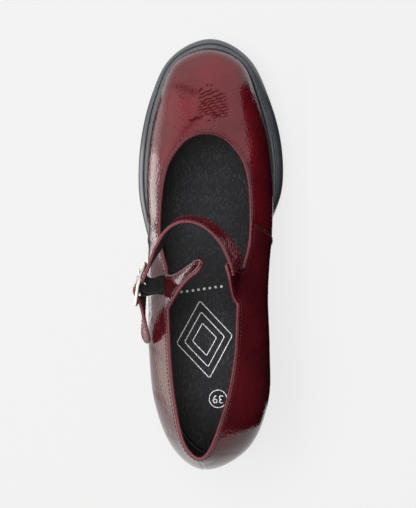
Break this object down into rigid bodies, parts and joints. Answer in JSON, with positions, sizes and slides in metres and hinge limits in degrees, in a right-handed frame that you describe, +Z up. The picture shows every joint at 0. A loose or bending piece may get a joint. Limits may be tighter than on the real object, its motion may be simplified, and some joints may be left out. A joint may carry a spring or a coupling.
{
  "type": "heeled mary jane shoe",
  "caption": "Low-cut left shoe with a rounded toe, chunky platform sole, block heel and a narrow instep strap closed by a metal buckle on an elastic loop.",
  "frame": {"origin": "centre of the bounding box at the floor", "axes": "+Y along the foot towards the toe, +X towards the inner side of the left foot, +Z up"},
  "size_m": [0.0939, 0.2685, 0.1119],
  "materials": {
    "patent": "glossy burgundy patent leather",
    "lining": "matt black grained lining leather",
    "rubber": "satin black moulded rubber",
    "webbing": "black ribbed elastic webbing",
    "nickel": "polished nickel plate"
  },
  "bodies": {
    "root": {"upper": "patent", "insole": "lining", "outsole": "rubber", "heel_block": "rubber", "heel_top_piece": "rubber", "strap": "patent", "elastic": "webbing", "buckle_frame": "nickel", "prong": "nickel"}
  },
  "joints": []
}
